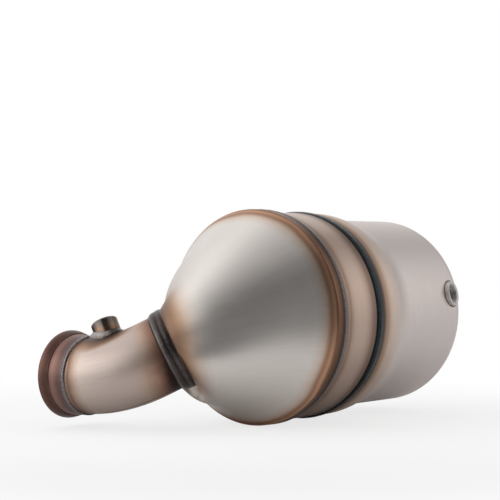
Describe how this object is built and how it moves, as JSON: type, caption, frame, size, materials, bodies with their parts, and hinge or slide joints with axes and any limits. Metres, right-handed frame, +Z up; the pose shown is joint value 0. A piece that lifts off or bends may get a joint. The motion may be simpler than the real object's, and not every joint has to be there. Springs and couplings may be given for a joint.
{
  "type": "diesel particulate filter",
  "caption": "Welded steel exhaust can with an off-centre inlet cone, a flanged elbow and sensor bosses, holding a catalyst brick and a soot filter brick.",
  "frame": {"origin": "centre of the inlet flange's face", "axes": "+Y out of the inlet flange, +X along the can toward the outlet, +Z up"},
  "size_m": [0.3863, 0.2122, 0.1808],
  "materials": {
    "flange_steel": "turned, with brown oxide scale",
    "pipe_steel": "satin stainless with straw heat tint by the welds",
    "boss_steel": "turned, straw and brown heat tint",
    "cone_steel": "brushed stainless with brown heat tint at its rim and neck",
    "ring_steel": "satin stainless, straw tinted",
    "can_steel": "matt satin stainless",
    "rear_boss_steel": "turned satin",
    "outlet_steel": "satin stainless",
    "weld_bright": "rippled gray weld metal",
    "weld_dark": "rippled charcoal weld metal",
    "weld_black": "oxidised near-black weld metal",
    "mat_fibre": "pale pressed ceramic fibre",
    "cordierite": "matt porous ceramic",
    "silicon_carbide": "matt porous dark ceramic",
    "cement": "matt ceramic cement"
  },
  "bodies": {
    "root": {"inlet_flange": "flange_steel", "flange_weld": "weld_bright", "inlet_elbow": "pipe_steel", "front_sensor_boss": "boss_steel", "front_boss_weld": "weld_bright", "neck_weld": "weld_dark", "inlet_cone": "cone_steel", "cone_weld": "weld_bright", "doc_shell": "ring_steel", "doc_mat": "mat_fibre", "doc_brick": "cordierite", "shell_weld": "weld_black", "dpf_shell": "can_steel", "dpf_mat": "mat_fibre", "dpf_cement": "cement", "dpf_segments": "silicon_carbide", "rear_sensor_boss": "rear_boss_steel", "rear_boss_weld": "weld_dark", "outlet_pipe": "outlet_steel", "outlet_weld": "weld_bright"}
  },
  "joints": []
}
